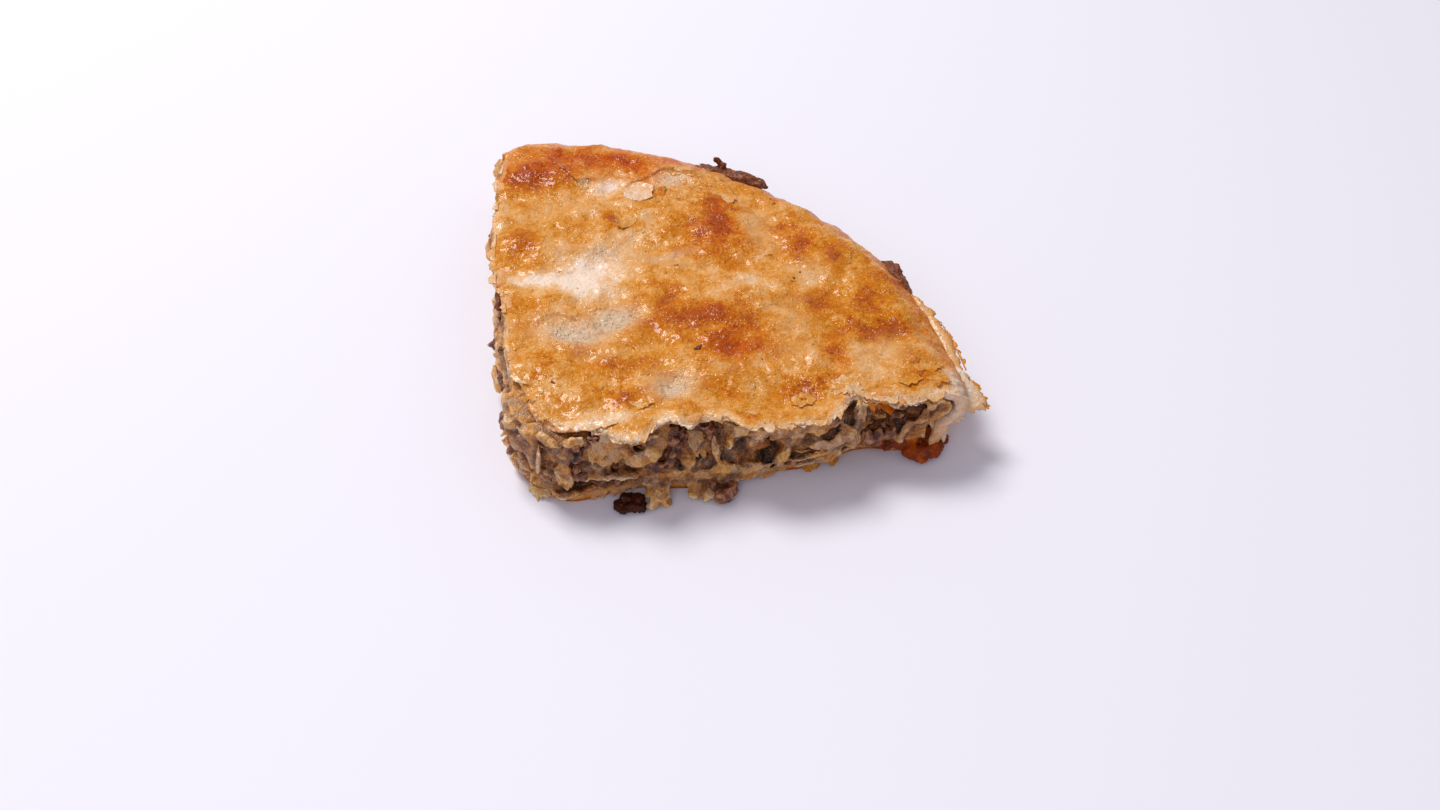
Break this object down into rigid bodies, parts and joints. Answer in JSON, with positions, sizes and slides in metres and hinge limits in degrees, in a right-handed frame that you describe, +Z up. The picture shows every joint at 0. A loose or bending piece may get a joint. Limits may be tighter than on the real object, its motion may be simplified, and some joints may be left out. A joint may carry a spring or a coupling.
{
  "type": "meat borek",
  "caption": "Quarter of a round baked pastry pie with a browned flaky top, torn and cut edges and a filling of minced meat and soft dough.",
  "frame": {"origin": "middle of the bounding box, at the height of the flat underside", "axes": "+Z up through the baked top, +X along the front cut towards the round side, +Y along the left cut towards the round side"},
  "size_m": [0.1732, 0.1984, 0.0355],
  "materials": {
    "baked_pastry": "greasy, browned in patches",
    "meat_filling": "moist and rough"
  },
  "bodies": {
    "root": {"pastry": "baked_pastry", "meat_filling": "meat_filling"}
  },
  "joints": []
}
